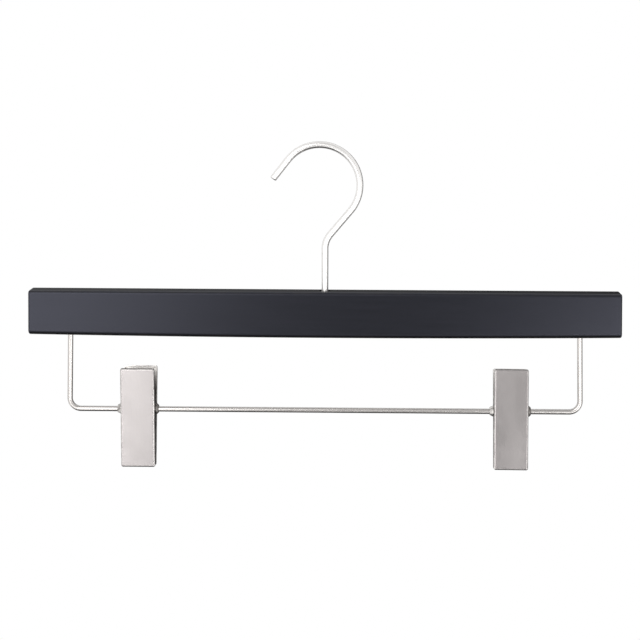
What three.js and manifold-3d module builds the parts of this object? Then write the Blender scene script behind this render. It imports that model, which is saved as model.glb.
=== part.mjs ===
// Clip hanger for trousers and skirts: a lacquered wooden bar on a swivelling wire hook,
// with two sprung sheet-metal clips on a bent wire rail under the bar.
// Millimetres, +Z up, the front faces -Y. The origin is the point on the swivel axis
// where the inside of the hook rests on a closet rail.

import * as THREE from 'three';
import { mergeVertices } from 'three/addons/utils/BufferGeometryUtils.js';
import Module from 'manifold-3d';

const wasm = await Module();
wasm.setup();

// Driving dimensions: general
const GAP = 0.3;
const OVERCUT = 1;
const ROUND_SIDES = 16;
const CURVE_STEPS = 5;

// Driving dimensions: wooden bar
const BAR_LENGTH = 355;
const BAR_HEIGHT = 28;
const BAR_THICKNESS = 13;
const BAR_CROWN = 1.2;
const BAR_END_DRAFT = 0.5;
const BAR_UPPER_ROUND = 2.0;
const BAR_LOWER_ROUND = 3.0;
const BAR_END_ROUND = 1.1;
const BAR_END_ROUND_STEPS = 3;
const BAR_STEPS = 16;

// Driving dimensions: hook and its swivel
const HOOK_WIRE = 4.0;
const HOOK_BEND = 24.0;
const HOOK_OFFSET = 3.35;
const HOOK_RISE = 63.6;
const HOOK_NECK_ANGLE = THREE.MathUtils.degToRad(40);
const HOOK_NECK_BEND = 13;
const HOOK_ARC_END = THREE.MathUtils.degToRad(142);
const HOOK_TIP = 14.3;
const HOOK_SIDES = 12;
const HOOK_STEP = 3.6;
const HOOK_HEAD_RADIUS = 2.9;
const HOOK_HEAD_HEIGHT = 1.6;
const BUSH_RADIUS = 3.2;
const BUSH_DEPTH = 9;
const WASHER_RADIUS = 3.3;
const WASHER_THICKNESS = 0.8;
const COUNTERBORE_RADIUS = 3.6;
const COUNTERBORE_DEPTH = 7;

// Driving dimensions: clip rail
const RAIL_WIRE = 3.2;
const RAIL_DROP = 45;
const RAIL_HALF_SPAN = 153.2;
const RAIL_BEND = 6.5;
const RAIL_SPLAY = THREE.MathUtils.degToRad(1.5);
const RAIL_INSERT = 14;
const RAIL_SIDES = 10;
const RAIL_BEND_STEPS = 6;

// Driving dimensions: clips
const CLIP_OFFSET = 112.5;
const LEFT_CLIP_TILT = THREE.MathUtils.degToRad(-4.5);
const RIGHT_CLIP_TILT = THREE.MathUtils.degToRad(-11.5);
const CLIP_WIDTH = 20.6;
const CLIP_ABOVE = 25.8;
const CLIP_BELOW = 34.7;
const SHEET = 0.8;
const JAW_DEPTH = 6.4;
const JAW_LEAN = THREE.MathUtils.degToRad(4.3);
const JAW_CORNER = 1.5;
const JAW_BEND = 1.1;
const JAW_BEND_STEPS = 3;
const FLANGE_DEPTH = 2.2;
const EAR_RADIUS = 3.9;
const EAR_HALF_BASE = 8.5;
const TAB_CENTRE = -23;
const TAB_LENGTH = 5;
const TAB_DEPTH = 1.2;

// Driving dimensions: pivot, spring and pads of a clip
const SLEEVE_RADIUS = 2.5;
const SLEEVE_HEAD_RADIUS = 3.25;
const SLEEVE_HEAD_LENGTH = 2.2;
const SLEEVE_LIP = 0.35;
const SPRING_WIRE = 1.2;
const SPRING_RADIUS = 3.6;
const SPRING_TURNS = 5.5;
const SPRING_PITCH = 1.8;
const SPRING_LEG = 17;
const SPRING_SIDES = 5;
const SPRING_STEPS_PER_TURN = 8;
const SPRING_GAP_SAMPLES = 600;
const PAD_TOP = -9;
const PAD_THICKNESS = 2.6;
const PAD_RIB_PITCH = 3.2;
const PAD_RIB_DEPTH = 0.6;

// Places that follow from the driving dimensions
const HOOK_CENTRE_X = -HOOK_OFFSET;
const HOOK_CENTRE_Z = -Math.sqrt((HOOK_BEND - HOOK_WIRE / 2) ** 2 - HOOK_OFFSET ** 2);
const BAR_TOP = HOOK_CENTRE_Z - HOOK_RISE;
const BAR_BOTTOM = BAR_TOP - BAR_HEIGHT;
const COUNTERBORE_TOP = BAR_BOTTOM + COUNTERBORE_DEPTH;
const HOOK_FOOT = COUNTERBORE_TOP - WASHER_THICKNESS - HOOK_HEAD_HEIGHT - 2 * GAP;
const RAIL_Z = BAR_BOTTOM - RAIL_DROP;
const RAIL_END = BAR_BOTTOM + BAR_CROWN + RAIL_INSERT;
const SLEEVE_HALF_LENGTH = CLIP_WIDTH / 2 + GAP + SLEEVE_HEAD_LENGTH;
const SLEEVE_BORE = RAIL_WIRE / 2 + GAP;

// Finishes
const blackLacquer = new THREE.MeshStandardMaterial({ color: 0x26272b, roughness: 0.45, metalness: 0 });
const satinWire = new THREE.MeshStandardMaterial({ color: 0xd8d6d2, roughness: 0.28, metalness: 1 });
const satinNickel = new THREE.MeshStandardMaterial({ color: 0xc9c4bf, roughness: 0.38, metalness: 1 });
const springSteel = new THREE.MeshStandardMaterial({ color: 0x8d8c8a, roughness: 0.35, metalness: 1 });
const blackRubber = new THREE.MeshStandardMaterial({ color: 0x151515, roughness: 0.85, metalness: 0 });
const blackNylon = new THREE.MeshStandardMaterial({ color: 0x1b1b1d, roughness: 0.6, metalness: 0 });

// A closed solid from a geometry, and a geometry from a solid
function toSolid(geometry) {
  const bare = geometry.clone();
  bare.deleteAttribute('normal');
  bare.deleteAttribute('uv');
  const welded = mergeVertices(bare, 1e-4);
  const vertProperties = new Float32Array(welded.attributes.position.array);
  const triVerts = new Uint32Array(welded.index.array);
  return new wasm.Manifold(new wasm.Mesh({ numProp: 3, vertProperties, triVerts }));
}

function toGeometry(solid) {
  const mesh = solid.getMesh();
  const geometry = new THREE.BufferGeometry();
  geometry.setAttribute('position', new THREE.BufferAttribute(mesh.vertProperties, 3));
  geometry.setIndex(new THREE.BufferAttribute(mesh.triVerts, 1));
  geometry.computeVertexNormals();
  return geometry;
}

// A profile in Y and Z, drawn out along X, with rounded ends where asked
function alongX(profile, xStart, xEnd, { steps = 1, endRound = 0, endRoundSteps = 0 } = {}) {
  const geometry = new THREE.ExtrudeGeometry(profile, {
    steps,
    depth: xEnd - xStart - 2 * endRound,
    bevelEnabled: endRound > 0,
    bevelThickness: endRound,
    bevelSize: endRound,
    bevelOffset: -endRound,
    bevelSegments: endRoundSteps,
    curveSegments: CURVE_STEPS,
  });
  const axes = new THREE.Matrix4().makeBasis(
    new THREE.Vector3(0, 1, 0),
    new THREE.Vector3(0, 0, 1),
    new THREE.Vector3(1, 0, 0),
  );
  geometry.applyMatrix4(axes.setPosition(xStart + endRound, 0, 0));
  return geometry;
}

// An outline drawn in X and Z, drawn out towards the front, with its front and back edges rounded
function towardsFront(outline, yBack, yFront, round, roundSteps) {
  const geometry = new THREE.ExtrudeGeometry(outline, {
    depth: yBack - yFront - 2 * round,
    bevelThickness: round,
    bevelSize: round,
    bevelOffset: -round,
    bevelSegments: roundSteps,
    curveSegments: CURVE_STEPS,
  });
  const axes = new THREE.Matrix4().makeBasis(
    new THREE.Vector3(1, 0, 0),
    new THREE.Vector3(0, 0, 1),
    new THREE.Vector3(0, -1, 0),
  );
  geometry.applyMatrix4(axes.setPosition(0, yBack - round, 0));
  return geometry;
}

// A profile of radius and height turned about Z or about X
function turnedZ(profile, sides = ROUND_SIDES) {
  const points = profile.map(([radius, z]) => new THREE.Vector2(radius, z));
  return new THREE.LatheGeometry(points, sides).rotateX(Math.PI / 2);
}

function turnedX(profile, sides = ROUND_SIDES) {
  const points = profile.map(([radius, x]) => new THREE.Vector2(radius, x));
  return new THREE.LatheGeometry(points, sides).rotateZ(-Math.PI / 2);
}

function rodX(radius, halfLength) {
  return turnedX([[0, -halfLength], [radius, -halfLength], [radius, halfLength], [0, halfLength]]);
}

function rodZ(radius, zStart, zEnd, sides = ROUND_SIDES) {
  return turnedZ([[0, zStart], [radius, zStart], [radius, zEnd], [0, zEnd]], sides);
}

// Round wire along a path
function wire(path, diameter, sides, steps) {
  const section = new THREE.Shape();
  for (let side = 0; side < sides; side += 1) {
    const angle = (2 * Math.PI * side) / sides;
    const across = (diameter / 2) * Math.cos(angle);
    const up = (diameter / 2) * Math.sin(angle);
    if (side === 0) {
      section.moveTo(across, up);
    } else {
      section.lineTo(across, up);
    }
  }
  section.closePath();
  return new THREE.ExtrudeGeometry(section, { steps, extrudePath: path });
}

// An arc in the plane of the hanger, from one angle to another, angles measured from +X towards +Z
class FrontArc extends THREE.Curve {
  constructor(centreX, centreZ, radius, startAngle, endAngle) {
    super();
    Object.assign(this, { centreX, centreZ, radius, startAngle, endAngle });
  }

  getPoint(t, target = new THREE.Vector3()) {
    const angle = this.startAngle + (this.endAngle - this.startAngle) * t;
    const x = this.centreX + this.radius * Math.cos(angle);
    const z = this.centreZ + this.radius * Math.sin(angle);
    return target.set(x, 0, z);
  }
}

function joinPath(pieces) {
  const path = new THREE.CurvePath();
  pieces.forEach((piece) => path.add(piece));
  return path;
}

function straight(from, to) {
  return new THREE.LineCurve3(from, to);
}

// Hook: upright shank, bent neck, three-quarter round and a straight tip, with an upset foot
function makeHook() {
  const neckReach = HOOK_NECK_BEND * (1 - Math.cos(HOOK_NECK_ANGLE));
  const neckRise = HOOK_NECK_BEND * Math.sin(HOOK_NECK_ANGLE);
  const joinX = HOOK_CENTRE_X + HOOK_BEND * Math.cos(HOOK_NECK_ANGLE);
  const joinZ = HOOK_CENTRE_Z - HOOK_BEND * Math.sin(HOOK_NECK_ANGLE);
  const slantRise = (joinX - neckReach) / Math.tan(HOOK_NECK_ANGLE);
  const neckTopZ = joinZ - slantRise;
  const neckStartZ = neckTopZ - neckRise;
  const arc = new FrontArc(HOOK_CENTRE_X, HOOK_CENTRE_Z, HOOK_BEND, -HOOK_NECK_ANGLE, HOOK_ARC_END);
  const arcEnd = arc.getPoint(1);
  const tip = new THREE.Vector3(-Math.sin(HOOK_ARC_END), 0, Math.cos(HOOK_ARC_END));
  const path = joinPath([
    straight(new THREE.Vector3(0, 0, HOOK_FOOT), new THREE.Vector3(0, 0, neckStartZ)),
    new FrontArc(HOOK_NECK_BEND, neckStartZ, HOOK_NECK_BEND, Math.PI, Math.PI - HOOK_NECK_ANGLE),
    straight(new THREE.Vector3(neckReach, 0, neckTopZ), new THREE.Vector3(joinX, 0, joinZ)),
    arc,
    straight(arcEnd, arcEnd.clone().addScaledVector(tip, HOOK_TIP)),
  ]);
  const steps = Math.round(path.getLength() / HOOK_STEP);
  const bentWire = toSolid(wire(path, HOOK_WIRE, HOOK_SIDES, steps));
  const foot = toSolid(rodZ(HOOK_HEAD_RADIUS, HOOK_FOOT, HOOK_FOOT + HOOK_HEAD_HEIGHT));
  return toGeometry(bentWire.add(foot));
}

// Bush in the top of the bar, just below its surface
function makeHookBush() {
  const bore = HOOK_WIRE / 2 + GAP;
  const top = BAR_TOP - GAP;
  const foot = BAR_TOP - BUSH_DEPTH + GAP;
  const start = [bore, foot];
  return turnedZ([start, [BUSH_RADIUS, foot], [BUSH_RADIUS, top], [bore, top], start]);
}

function makeHookWasher() {
  const bore = HOOK_WIRE / 2 + GAP;
  const top = COUNTERBORE_TOP - GAP;
  const bottom = top - WASHER_THICKNESS;
  const start = [bore, bottom];
  return turnedZ([start, [WASHER_RADIUS, bottom], [WASHER_RADIUS, top], [bore, top], start]);
}

// Cross-section of the bar in Y and Z, all four long edges rounded, the lower ones more
function barSection() {
  const side = BAR_THICKNESS / 2;
  const upper = BAR_UPPER_ROUND;
  const lower = BAR_LOWER_ROUND;
  const section = new THREE.Shape();
  section.absarc(side - lower, BAR_BOTTOM + lower, lower, -0.5 * Math.PI, 0, false);
  section.absarc(side - upper, BAR_TOP - upper, upper, 0, 0.5 * Math.PI, false);
  section.absarc(-side + upper, BAR_TOP - upper, upper, 0.5 * Math.PI, Math.PI, false);
  section.absarc(-side + lower, BAR_BOTTOM + lower, lower, Math.PI, 1.5 * Math.PI, false);
  section.closePath();
  return section;
}

// Bar: straight top, lower edge longer and crowned towards the middle, all edges rounded
function makeBar() {
  const halfLength = BAR_LENGTH / 2;
  const board = alongX(barSection(), -halfLength, halfLength, {
    steps: BAR_STEPS,
    endRound: BAR_END_ROUND,
    endRoundSteps: BAR_END_ROUND_STEPS,
  });
  const places = board.attributes.position;
  for (let index = 0; index < places.count; index += 1) {
    const z = places.getZ(index);
    const outward = places.getX(index) / halfLength;
    const downward = (BAR_TOP - z) / BAR_HEIGHT;
    places.setX(index, outward * (halfLength - BAR_END_DRAFT * (1 - downward)));
    places.setZ(index, z + BAR_CROWN * outward ** 2 * downward);
  }
  const blank = toSolid(board);

  const hookBore = turnedZ([
    [0, BAR_BOTTOM - OVERCUT],
    [COUNTERBORE_RADIUS, BAR_BOTTOM - OVERCUT],
    [COUNTERBORE_RADIUS, COUNTERBORE_TOP],
    [HOOK_WIRE / 2 + GAP, COUNTERBORE_TOP],
    [HOOK_WIRE / 2 + GAP, BAR_TOP - BUSH_DEPTH],
    [BUSH_RADIUS + GAP, BAR_TOP - BUSH_DEPTH],
    [BUSH_RADIUS + GAP, BAR_TOP + OVERCUT],
    [0, BAR_TOP + OVERCUT],
  ]);
  const railBore = rodZ(RAIL_WIRE / 2 + GAP, BAR_BOTTOM - OVERCUT, RAIL_END + GAP);
  const leftBore = toSolid(railBore.clone().translate(-RAIL_HALF_SPAN, 0, 0));
  const rightBore = toSolid(railBore.clone().translate(RAIL_HALF_SPAN, 0, 0));
  return toGeometry(blank.subtract(toSolid(hookBore)).subtract(leftBore).subtract(rightBore));
}

// A path whose even steps fall on its own points
class PolylinePath extends THREE.Curve {
  constructor(points) {
    super();
    this.points = points;
  }

  getPoint(t, target = new THREE.Vector3()) {
    const last = this.points.length - 1;
    const place = Math.min(t * last, last);
    const index = Math.min(Math.floor(place), last - 1);
    return target.lerpVectors(this.points[index], this.points[index + 1], place - index);
  }

  getPointAt(u, target) {
    return this.getPoint(u, target);
  }

  getTangentAt(u, target = new THREE.Vector3()) {
    const last = this.points.length - 1;
    const index = Math.round(u * last);
    const before = this.points[Math.max(index - 1, 0)];
    const after = this.points[Math.min(index + 1, last)];
    return target.subVectors(after, before).normalize();
  }
}

// Rail: one wire, upright in the bar, a little splayed below it, then bent across and up again
function makeClipRail() {
  const bendZ = RAIL_Z + RAIL_BEND;
  const bendStartZ = bendZ + RAIL_BEND * Math.sin(RAIL_SPLAY);
  const bendStartX = RAIL_HALF_SPAN + (BAR_BOTTOM - bendStartZ) * Math.tan(RAIL_SPLAY);
  const bendX = bendStartX - RAIL_BEND * Math.cos(RAIL_SPLAY);
  const points = [
    new THREE.Vector3(-RAIL_HALF_SPAN, 0, RAIL_END),
    new THREE.Vector3(-RAIL_HALF_SPAN, 0, BAR_BOTTOM),
  ];
  for (let step = 0; step <= RAIL_BEND_STEPS; step += 1) {
    const angle = Math.PI - RAIL_SPLAY + (Math.PI / 2 + RAIL_SPLAY) * (step / RAIL_BEND_STEPS);
    const x = -bendX + RAIL_BEND * Math.cos(angle);
    const z = bendZ + RAIL_BEND * Math.sin(angle);
    points.push(new THREE.Vector3(x, 0, z));
  }
  const mirrored = points.map((point) => new THREE.Vector3(-point.x, 0, point.z)).reverse();
  const route = points.concat(mirrored);
  const path = new PolylinePath(route);
  return wire(path, RAIL_WIRE, RAIL_SIDES, route.length - 1);
}

// Front view of a jaw's blank after bending
function jawOutline(inset) {
  const right = CLIP_WIDTH / 2 - inset;
  const top = CLIP_ABOVE - inset;
  const bottom = -CLIP_BELOW + inset;
  const corner = JAW_CORNER - inset;
  const outline = new THREE.Shape();
  outline.absarc(right - corner, bottom + corner, corner, -0.5 * Math.PI, 0, false);
  outline.absarc(right - corner, top - corner, corner, 0, 0.5 * Math.PI, false);
  outline.absarc(-right + corner, top - corner, corner, 0.5 * Math.PI, Math.PI, false);
  outline.absarc(-right + corner, bottom + corner, corner, Math.PI, 1.5 * Math.PI, false);
  outline.closePath();
  return outline;
}

// Side view of a jaw: shallow flanges, a tab beside the pad and, where asked, round ears at the pivot
function jawSideProfile(withEars) {
  const outside = -JAW_DEPTH - OVERCUT;
  const flange = -JAW_DEPTH + FLANGE_DEPTH;
  const tab = flange + TAB_DEPTH;
  const earBase = Math.PI - Math.atan2(EAR_HALF_BASE, -flange);
  const earTouch = earBase - Math.acos(EAR_RADIUS / Math.hypot(flange, EAR_HALF_BASE));
  const profile = new THREE.Shape();
  profile.moveTo(outside, -CLIP_BELOW - OVERCUT);
  profile.lineTo(flange, -CLIP_BELOW - OVERCUT);
  profile.lineTo(flange, TAB_CENTRE - TAB_LENGTH / 2);
  profile.lineTo(tab, TAB_CENTRE - TAB_LENGTH / 2 + TAB_DEPTH / 2);
  profile.lineTo(tab, TAB_CENTRE + TAB_LENGTH / 2 - TAB_DEPTH / 2);
  profile.lineTo(flange, TAB_CENTRE + TAB_LENGTH / 2);
  if (withEars) {
    profile.lineTo(flange, -EAR_HALF_BASE);
    profile.absarc(0, 0, EAR_RADIUS, -earTouch, earTouch, false);
    profile.lineTo(flange, EAR_HALF_BASE);
  }
  profile.lineTo(flange, CLIP_ABOVE + OVERCUT);
  profile.lineTo(outside, CLIP_ABOVE + OVERCUT);
  profile.closePath();
  return profile;
}

// Ears that are offset inwards from the flanges, so that they fit between the ears of the other jaw
function makeOffsetEars() {
  const outside = CLIP_WIDTH / 2 - SHEET - GAP;
  const inside = outside - SHEET;
  const root = CLIP_WIDTH / 2 - SHEET / 2;
  const floor = -JAW_DEPTH + SHEET / 2;
  const offsetEnd = -JAW_DEPTH + FLANGE_DEPTH - GAP;
  const offsetStart = offsetEnd - SHEET / 2;
  const trim = toSolid(alongX(jawSideProfile(true), -CLIP_WIDTH, CLIP_WIDTH));
  const walls = [-1, 1].map((side) => {
    const section = new THREE.Shape();
    section.moveTo(side * inside, floor);
    section.lineTo(side * root, floor);
    section.lineTo(side * root, offsetStart);
    section.lineTo(side * outside, offsetEnd);
    section.lineTo(side * outside, EAR_RADIUS + OVERCUT);
    section.lineTo(side * inside, EAR_RADIUS + OVERCUT);
    section.closePath();
    const wall = new THREE.ExtrudeGeometry(section, { depth: 2 * EAR_HALF_BASE, bevelEnabled: false });
    return toSolid(wall.translate(0, 0, -EAR_HALF_BASE));
  });
  return walls[0].add(walls[1]).intersect(trim);
}

// Jaw: a pressed tray of sheet, trimmed to its flanges and ears and pierced for the pivot
function makeJaw(offsetEars) {
  const yBack = EAR_RADIUS + 2 * JAW_BEND;
  const outer = toSolid(towardsFront(jawOutline(0), yBack, -JAW_DEPTH, JAW_BEND, JAW_BEND_STEPS));
  const floor = -JAW_DEPTH + SHEET;
  const innerBend = JAW_BEND - SHEET;
  const inner = toSolid(towardsFront(jawOutline(SHEET), yBack + OVERCUT, floor, innerBend, JAW_BEND_STEPS));
  const trim = toSolid(alongX(jawSideProfile(!offsetEars), -CLIP_WIDTH, CLIP_WIDTH));
  const tray = outer.subtract(inner).intersect(trim);
  const pressed = offsetEars ? tray.add(makeOffsetEars()) : tray;
  const pivotHole = toSolid(rodX(SLEEVE_RADIUS + GAP, CLIP_WIDTH));
  return toGeometry(pressed.subtract(pivotHole));
}

// Pivot: a hollow rivet around the rail, its ends rolled over outside the ears
function makePivotSleeve() {
  const headInside = SLEEVE_HALF_LENGTH - SLEEVE_HEAD_LENGTH;
  const rim = headInside + SLEEVE_HEAD_LENGTH / 3;
  const mouth = SLEEVE_BORE + SLEEVE_LIP;
  const right = [
    [SLEEVE_RADIUS, headInside],
    [SLEEVE_HEAD_RADIUS, headInside],
    [SLEEVE_HEAD_RADIUS, rim],
    [mouth + SLEEVE_LIP, SLEEVE_HALF_LENGTH - SLEEVE_LIP],
    [mouth, SLEEVE_HALF_LENGTH],
    [SLEEVE_BORE, SLEEVE_HALF_LENGTH - SLEEVE_LIP],
  ];
  const left = right.map(([radius, x]) => [radius, -x]).reverse();
  return turnedX([...left, ...right, left[0]]);
}

// Spring centre line: down the rear leg, round the sleeve and up the front leg
class SpringPath extends THREE.Curve {
  constructor() {
    super();
    this.coil = 2 * Math.PI * SPRING_RADIUS * SPRING_TURNS;
    this.total = this.coil + 2 * SPRING_LEG;
    const plateInside = JAW_DEPTH - SHEET + SPRING_LEG * Math.tan(JAW_LEAN);
    this.legSpread = plateInside - GAP - SPRING_WIRE / 2 - SPRING_RADIUS;
  }

  getPoint(t, target = new THREE.Vector3()) {
    const along = t * this.total;
    const halfWidth = (SPRING_TURNS * SPRING_PITCH) / 2;
    if (along < SPRING_LEG) {
      const up = 1 - along / SPRING_LEG;
      return target.set(-halfWidth, SPRING_RADIUS + this.legSpread * up, SPRING_LEG * up);
    }
    if (along > SPRING_LEG + this.coil) {
      const up = (along - SPRING_LEG - this.coil) / SPRING_LEG;
      return target.set(halfWidth, -SPRING_RADIUS - this.legSpread * up, SPRING_LEG * up);
    }
    const turn = (along - SPRING_LEG) / this.coil;
    const angle = -2 * Math.PI * SPRING_TURNS * turn;
    const x = -halfWidth + 2 * halfWidth * turn;
    return target.set(x, SPRING_RADIUS * Math.cos(angle), SPRING_RADIUS * Math.sin(angle));
  }
}

// Least clear gap between parts of the spring that are at least half a turn apart
function leastSelfGap(path, diameter, samples, apart) {
  const points = path.getSpacedPoints(samples);
  const skip = Math.ceil((apart / path.getLength()) * samples);
  let least = Infinity;
  for (let first = 0; first < samples; first += 1) {
    for (let second = first + skip; second <= samples; second += 1) {
      least = Math.min(least, points[first].distanceTo(points[second]));
    }
  }
  return least - diameter;
}

function makeSpring() {
  const path = new SpringPath();
  const stepLength = (2 * Math.PI * SPRING_RADIUS) / SPRING_STEPS_PER_TURN;
  const steps = Math.round(path.getLength() / stepLength);
  const gap = leastSelfGap(path, SPRING_WIRE, SPRING_GAP_SAMPLES, Math.PI * SPRING_RADIUS);
  console.log(`spring: least gap to itself ${gap.toFixed(2)} mm`);
  return wire(path, SPRING_WIRE, SPRING_SIDES, steps);
}

// Pad: a rubber block in the lower half of a jaw, ribbed across on its gripping side
function makePad() {
  const back = -JAW_DEPTH + SHEET + GAP;
  const grip = back + PAD_THICKNESS;
  const groove = grip - PAD_RIB_DEPTH;
  const bottom = -CLIP_BELOW + SHEET + GAP;
  const halfWidth = CLIP_WIDTH / 2 - SHEET - GAP;
  const ribs = Math.floor((PAD_TOP - bottom) / PAD_RIB_PITCH);
  const profile = new THREE.Shape();
  profile.moveTo(back, bottom);
  for (let rib = 0; rib < ribs; rib += 1) {
    const z = bottom + rib * PAD_RIB_PITCH;
    profile.lineTo(grip, z);
    profile.lineTo(grip, z + PAD_RIB_PITCH / 2);
    profile.lineTo(groove, z + PAD_RIB_PITCH / 2 + PAD_RIB_DEPTH / 2);
    profile.lineTo(groove, z + PAD_RIB_PITCH - PAD_RIB_DEPTH / 2);
  }
  profile.lineTo(groove, PAD_TOP);
  profile.lineTo(back, PAD_TOP);
  profile.closePath();
  return alongX(profile, -halfWidth, halfWidth);
}

function addPiece(group, name, geometry, material) {
  const mesh = new THREE.Mesh(geometry, material);
  mesh.name = name;
  group.add(mesh);
}

// Assembly
const hanger = new THREE.Group();
addPiece(hanger, 'hook', makeHook(), satinWire);
addPiece(hanger, 'hook_bush', makeHookBush(), blackNylon);
addPiece(hanger, 'hook_washer', makeHookWasher(), springSteel);
addPiece(hanger, 'wooden_bar', makeBar(), blackLacquer);
addPiece(hanger, 'clip_rail', makeClipRail(), satinWire);

const frontJaw = makeJaw(false);
const rearJaw = makeJaw(true);
const pivotSleeve = makePivotSleeve();
const spring = makeSpring();
const pad = makePad();

function addClip(side, x, tilt) {
  const clip = new THREE.Group();
  clip.position.set(x, 0, RAIL_Z);
  clip.rotation.x = tilt;
  addPiece(clip, `${side}_pivot_sleeve`, pivotSleeve, satinNickel);
  addPiece(clip, `${side}_spring`, spring, springSteel);

  const front = new THREE.Group();
  front.rotation.x = JAW_LEAN;
  addPiece(front, `${side}_front_jaw`, frontJaw, satinNickel);
  addPiece(front, `${side}_front_pad`, pad, blackRubber);

  const rear = new THREE.Group();
  rear.rotation.set(-JAW_LEAN, 0, Math.PI);
  addPiece(rear, `${side}_rear_jaw`, rearJaw, satinNickel);
  addPiece(rear, `${side}_rear_pad`, pad, blackRubber);

  clip.add(front, rear);
  hanger.add(clip);
}

addClip('left', -CLIP_OFFSET, LEFT_CLIP_TILT);
addClip('right', CLIP_OFFSET, RIGHT_CLIP_TILT);

export default hanger;
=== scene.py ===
import math

import bmesh
import bpy
from mathutils import Matrix, Vector


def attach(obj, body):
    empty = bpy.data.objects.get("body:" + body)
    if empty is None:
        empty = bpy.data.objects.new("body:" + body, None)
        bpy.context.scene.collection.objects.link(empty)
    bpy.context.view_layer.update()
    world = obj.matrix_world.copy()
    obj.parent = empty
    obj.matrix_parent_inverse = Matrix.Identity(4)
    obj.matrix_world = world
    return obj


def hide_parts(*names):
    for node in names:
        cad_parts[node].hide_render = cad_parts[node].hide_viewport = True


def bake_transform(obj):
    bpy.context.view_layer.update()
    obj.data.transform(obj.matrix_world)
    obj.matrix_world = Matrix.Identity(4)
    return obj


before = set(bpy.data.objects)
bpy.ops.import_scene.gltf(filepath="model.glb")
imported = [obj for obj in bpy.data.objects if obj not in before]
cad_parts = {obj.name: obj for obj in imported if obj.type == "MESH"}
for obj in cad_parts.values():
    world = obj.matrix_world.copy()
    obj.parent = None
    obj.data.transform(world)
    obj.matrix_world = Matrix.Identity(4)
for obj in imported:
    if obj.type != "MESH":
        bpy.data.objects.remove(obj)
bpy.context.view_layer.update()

# A clip hanger for trousers and skirts, in the CAD's frame: +X right, -Y front, +Z up, with the origin where
# the inside of the hook rests on its rail. Its sizes are in millimetres and its angles in degrees.
scene = bpy.context.scene
MM = 0.001
GAP = 0.3
OVERCUT = 2.0
SAME_PLACE = 0.01
WELD = 0.002
SMOOTH_UP_TO = 40
SHEARED_OVER = 50

# Wooden bar
BAR_LENGTH = 355
BAR_HEIGHT = 28
BAR_THICKNESS = 13
BAR_CROWN = 1.2
BAR_END_DRAFT = 0.5
BAR_UPPER_ROUND = 2.0
BAR_LOWER_ROUND = 3.0
BAR_END_ROUND = 1.1
BAR_SLICES = 48

# Hook and its swivel
HOOK_WIRE = 4.0
HOOK_BEND = 24.0
HOOK_OFFSET = 3.35
HOOK_RISE = 63.6
HOOK_NECK_ANGLE = 40
HOOK_NECK_BEND = 13
HOOK_ARC_END = 142
HOOK_TIP = 14.3
HOOK_TIP_CUT = 12
HOOK_HEAD = 5.8
HOOK_HEAD_HEIGHT = 1.6
BUSH_RADIUS = 3.2
BUSH_DEPTH = 9
BUSH_ROUND = 0.2
WASHER_RADIUS = 3.3
WASHER_THICKNESS = 0.8
WASHER_ROUND = 0.15
COUNTERBORE_RADIUS = 3.6
COUNTERBORE_DEPTH = 7

# Clip rail
RAIL_WIRE = 3.2
RAIL_DROP = 45
RAIL_HALF_SPAN = 153.2
RAIL_BEND = 6.5
RAIL_SPLAY = 1.5
RAIL_INSERT = 14

# Wire as it is cut and bent
WIRE_END_ROUND = 0.45
WIRE_BEND_STEP = 1.5
WIRE_LEAST_STEPS = 6

# Clips: each hangs at a tilt of its own about the rail, and the right one askew in the play of its pivot
CLIP_OFFSET = 112.5
CLIP_TILT = {"left": -4.5, "right": -11.5}
CLIP_ASKEW = {"left": 0, "right": -1.4}
CLIP_WIDTH = 20.6
CLIP_ABOVE = 25.8
CLIP_BELOW = 34.7
SHEET = 0.8
SHEET_EDGE_ROUND = 0.14
SHEET_MARGIN = 0.1
JAW_DEPTH = 6.4
JAW_LEAN = 4.3
JAW_CORNER = 1.2
JAW_BEND = 1.1
FLANGE_DEPTH = 2.2
EAR_RADIUS = 3.9
EAR_HALF_BASE = 8.5
EAR_FULLNESS = 0.999
TAB_CENTRE = -23
TAB_LENGTH = 5
TAB_DEPTH = 1.2
SLEEVE_RADIUS = 2.5
SLEEVE_HEAD_RADIUS = 3.25
SLEEVE_CONE_LENGTH = 2.2
SLEEVE_CONE_RIM = 0.3
SLEEVE_ROLL_LENGTH = 1.5
SLEEVE_LIP = 0.35
SLEEVE_ROUND = 0.14
SPRING_WIRE = 1.2
SPRING_SIDES = 16
SPRING_RADIUS = 3.6
SPRING_TURNS = 5.5
SPRING_TURN_STEPS = 36
SPRING_PITCH = 1.8
SPRING_LEG = 17
PAD_TOP = -9
PAD_THICKNESS = 2.6
PAD_RIB_PITCH = 3.2
PAD_RIB_DEPTH = 0.6
PAD_ROUND = 0.2

# Places that follow from the sizes
HOOK_CENTRE_Z = -math.sqrt((HOOK_BEND - HOOK_WIRE / 2) ** 2 - HOOK_OFFSET ** 2)
BAR_TOP = HOOK_CENTRE_Z - HOOK_RISE
BAR_BOTTOM = BAR_TOP - BAR_HEIGHT
COUNTERBORE_TOP = BAR_BOTTOM + COUNTERBORE_DEPTH
HOOK_FOOT = COUNTERBORE_TOP - WASHER_THICKNESS - HOOK_HEAD_HEIGHT - 2 * GAP
RAIL_Z = BAR_BOTTOM - RAIL_DROP
RAIL_END = BAR_BOTTOM + BAR_CROWN + RAIL_INSERT
SLEEVE_GRIP = CLIP_WIDTH / 2 + GAP
SLEEVE_BORE = RAIL_WIRE / 2 + GAP
SPRING_HALF_WIDTH = SPRING_TURNS * SPRING_PITCH / 2

# Finishes: where noise spreads, where a rim starts and ends, and how far above the rail a jaw's inside is
# painted shaded, dark near the pivot, and from where it is painted lit, pale up at the handles
NOISE_LOW, NOISE_HIGH = 0.35, 0.65
RIM_START, RIM_FULL = 0.06, 0.25
SHADED_INSIDE_TO, LIT_INSIDE_FROM = 11, 22


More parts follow.
